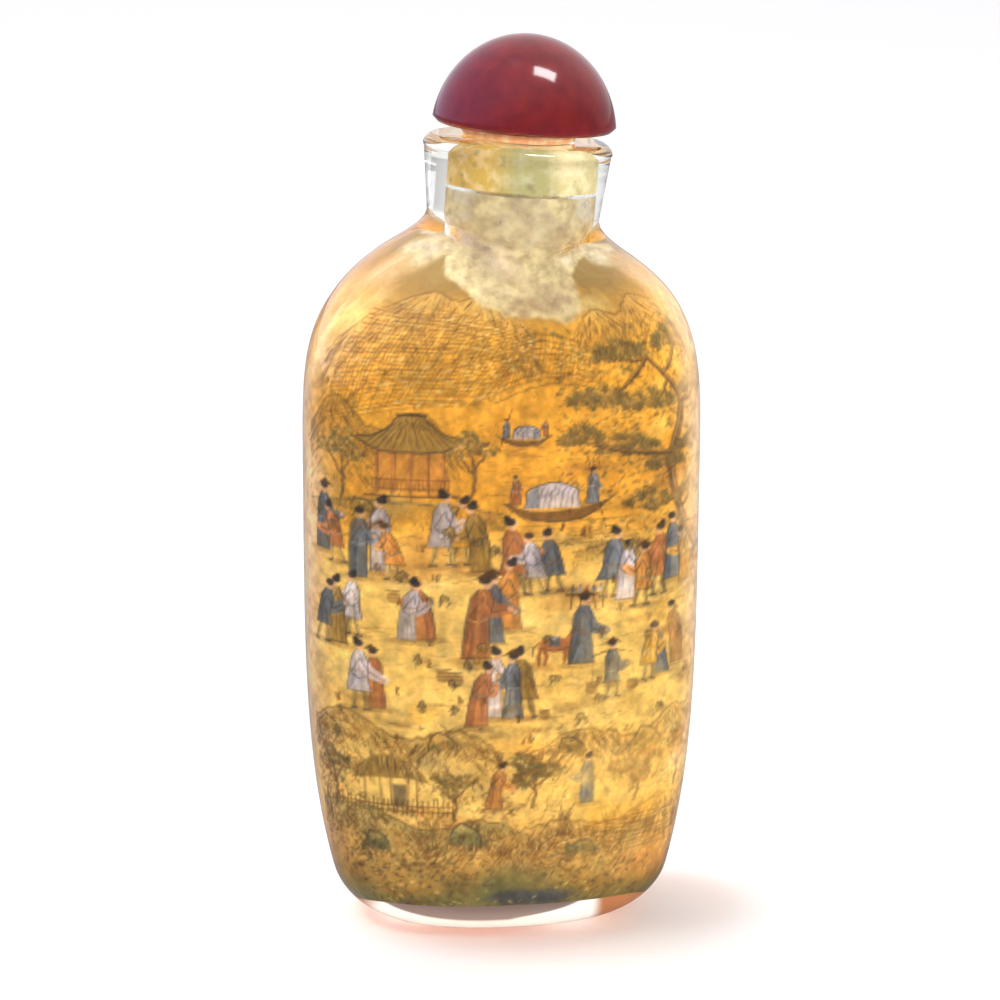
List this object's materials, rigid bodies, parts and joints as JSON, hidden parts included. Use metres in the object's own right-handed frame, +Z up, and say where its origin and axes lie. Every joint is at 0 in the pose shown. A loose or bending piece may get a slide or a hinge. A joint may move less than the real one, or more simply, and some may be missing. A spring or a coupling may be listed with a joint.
{
  "type": "glass snuff bottle",
  "caption": "Flattened clear glass snuff bottle, painted inside, with a short leaning neck and a domed red stopper that lifts out.",
  "frame": {"origin": "on the table, under the middle of the body", "axes": "+Z up through the body, +X across the bottle's broad face towards the side that the neck leans to, +Y from the front face to the back"},
  "size_m": [0.035, 0.0222, 0.0789],
  "materials": {
    "clear_glass": "clear blown glass, polished outside and ground inside, carrying the painting on its inner wall",
    "red_cap": "deep red glass, polished, letting a little light through at its lower edge",
    "peach_collar": "thin peach disc, semi-gloss",
    "pale_plug": "dull yellow-green plug with streaks of glue"
  },
  "bodies": {
    "root": {"bottle": "clear_glass", "stopper_cap": "red_cap", "stopper_collar": "peach_collar", "stopper_plug": "pale_plug"}
  },
  "joints": []
}
